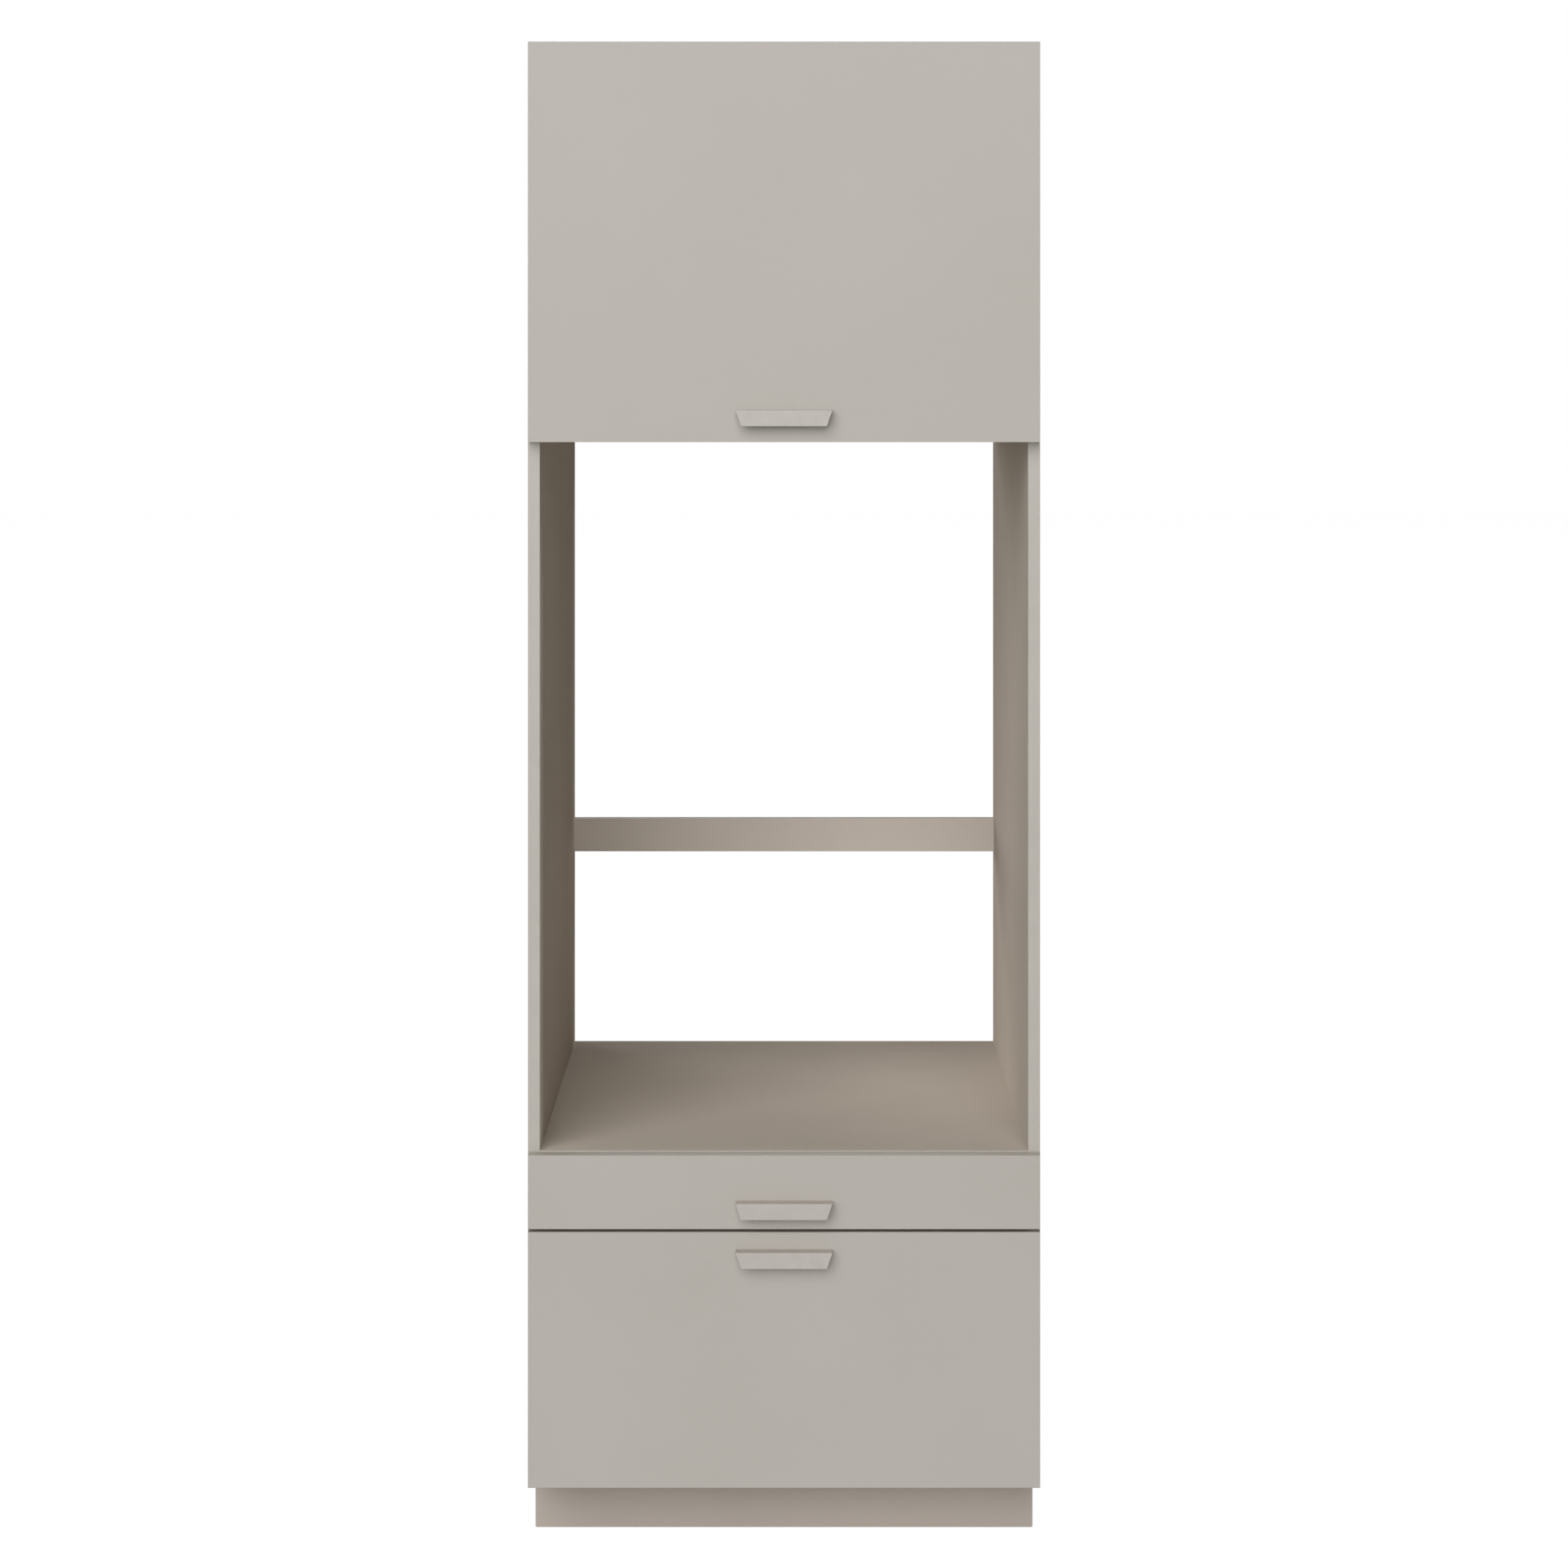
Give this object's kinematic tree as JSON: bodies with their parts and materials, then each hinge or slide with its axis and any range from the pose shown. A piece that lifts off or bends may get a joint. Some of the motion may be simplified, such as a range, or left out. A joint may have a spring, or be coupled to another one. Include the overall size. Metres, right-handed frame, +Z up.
{
  "type": "washing machine cabinet",
  "caption": "Tall cabinet with an open niche for a raised washing machine, two drawers with trapezoid pulls below it and a lift-up flap above it.",
  "frame": {"origin": "on the floor, in the middle of the overall width and of the overall depth with the handles", "axes": "+Z up, -Y out of the fronts, +X to the right of someone who faces the fronts"},
  "size_m": [0.64, 0.633, 1.883],
  "materials": {
    "carcass_board": "satin melamine",
    "front_lacquer": "satin lacquer",
    "handle_lacquer": "satin lacquer",
    "hardboard": "painted matt",
    "beech": "raw",
    "zinc_fitting": "zinc plated",
    "nickel_fitting": "nickel plated",
    "runner_steel": "zinc plated",
    "cage_brass": "satin",
    "leg_plastic": "matt",
    "cover_plastic": "matt",
    "pad_plastic": "clear",
    "drawer_board": "satin melamine"
  },
  "bodies": {
    "carcass": {"side_left": "carcass_board", "side_right": "carcass_board", "top_panel": "carcass_board", "upper_floor": "carcass_board", "niche_floor": "carcass_board", "bottom_panel": "carcass_board", "rear_rail": "carcass_board", "upper_back": "hardboard", "lower_back": "hardboard", "panel_dowels": "beech", "cam_locks": "zinc_fitting", "cam_bolts": "zinc_fitting", "leg_sockets": "leg_plastic", "leg_feet": "leg_plastic", "plinth_panel": "carcass_board", "plinth_clips": "leg_plastic", "wall_brackets": "zinc_fitting", "hinge_plates": "nickel_fitting", "hinge_arms": "nickel_fitting", "hinge_pins": "nickel_fitting", "lift_housings": "nickel_fitting", "lift_covers": "cover_plastic", "lift_pivots": "nickel_fitting", "fitting_screws": "zinc_fitting", "small_runner_outer": "runner_steel", "large_runner_outer": "runner_steel"},
    "flap": {"flap_panel": "front_lacquer", "flap_handle": "handle_lacquer", "flap_screws": "zinc_fitting", "hinge_cups": "nickel_fitting", "lift_brackets": "nickel_fitting", "flap_bumpers": "pad_plastic"},
    "lift_levers": {"lift_levers": "nickel_fitting"},
    "lift_links": {"lift_links": "nickel_fitting"},
    "small_drawer": {"small_front": "front_lacquer", "small_handle": "handle_lacquer", "small_screws": "zinc_fitting", "small_side_left": "drawer_board", "small_side_right": "drawer_board", "small_box_front": "drawer_board", "small_back": "drawer_board", "small_bottom": "drawer_board", "small_runner_inner": "runner_steel", "small_bumpers": "pad_plastic"},
    "small_runner_middle": {"small_runner_middle": "runner_steel"},
    "small_outer_cages": {"small_outer_cages": "cage_brass"},
    "small_inner_cages": {"small_inner_cages": "cage_brass"},
    "large_drawer": {"large_front": "front_lacquer", "large_handle": "handle_lacquer", "large_screws": "zinc_fitting", "large_side_left": "drawer_board", "large_side_right": "drawer_board", "large_box_front": "drawer_board", "large_back": "drawer_board", "large_bottom": "drawer_board", "large_runner_inner": "runner_steel", "large_bumpers": "pad_plastic"},
    "large_runner_middle": {"large_runner_middle": "runner_steel"},
    "large_outer_cages": {"large_outer_cages": "cage_brass"},
    "large_inner_cages": {"large_inner_cages": "cage_brass"}
  },
  "joints": [
    {"name": "flap_lift", "type": "hinge", "parent": "carcass", "child": "flap", "pos_m": [0, -0.295, 1.8766], "axis": [-1, 0, 0], "range_deg": [0, 90]},
    {"name": "lever_swing", "type": "hinge", "parent": "carcass", "child": "lift_levers", "pos_m": [0, -0.2, 1.7866], "axis": [-1, 0, 0], "range_deg": [0, 90]},
    {"name": "link_swing", "type": "hinge", "parent": "lift_levers", "child": "lift_links", "pos_m": [0, -0.1705, 1.6366], "axis": [-1, 0, 0], "range_deg": [-90, 0]},
    {"name": "small_drawer_slide", "type": "slide", "parent": "carcass", "child": "small_drawer", "axis": [0, -1, 0], "range_m": [0, 0.45]},
    {"name": "small_runner_middle_slide", "type": "slide", "parent": "carcass", "child": "small_runner_middle", "axis": [0, -1, 0], "range_m": [0, 0.2255]},
    {"name": "small_outer_cages_slide", "type": "slide", "parent": "carcass", "child": "small_outer_cages", "axis": [0, -1, 0], "range_m": [0, 0.113]},
    {"name": "small_inner_cages_slide", "type": "slide", "parent": "carcass", "child": "small_inner_cages", "axis": [0, -1, 0], "range_m": [0, 0.338]},
    {"name": "large_drawer_slide", "type": "slide", "parent": "carcass", "child": "large_drawer", "axis": [0, -1, 0], "range_m": [0, 0.45]},
    {"name": "large_runner_middle_slide", "type": "slide", "parent": "carcass", "child": "large_runner_middle", "axis": [0, -1, 0], "range_m": [0, 0.2255]},
    {"name": "large_outer_cages_slide", "type": "slide", "parent": "carcass", "child": "large_outer_cages", "axis": [0, -1, 0], "range_m": [0, 0.113]},
    {"name": "large_inner_cages_slide", "type": "slide", "parent": "carcass", "child": "large_inner_cages", "axis": [0, -1, 0], "range_m": [0, 0.338]}
  ],
  "couplings": [
    {"joint": "lever_swing", "follows": "flap_lift", "ratio": 1},
    {"joint": "link_swing", "follows": "flap_lift", "ratio": -1},
    {"joint": "small_runner_middle_slide", "follows": "small_drawer_slide", "ratio": 0.5},
    {"joint": "small_outer_cages_slide", "follows": "small_drawer_slide", "ratio": 0.25},
    {"joint": "small_inner_cages_slide", "follows": "small_drawer_slide", "ratio": 0.75},
    {"joint": "large_runner_middle_slide", "follows": "large_drawer_slide", "ratio": 0.5},
    {"joint": "large_outer_cages_slide", "follows": "large_drawer_slide", "ratio": 0.25},
    {"joint": "large_inner_cages_slide", "follows": "large_drawer_slide", "ratio": 0.75}
  ]
}
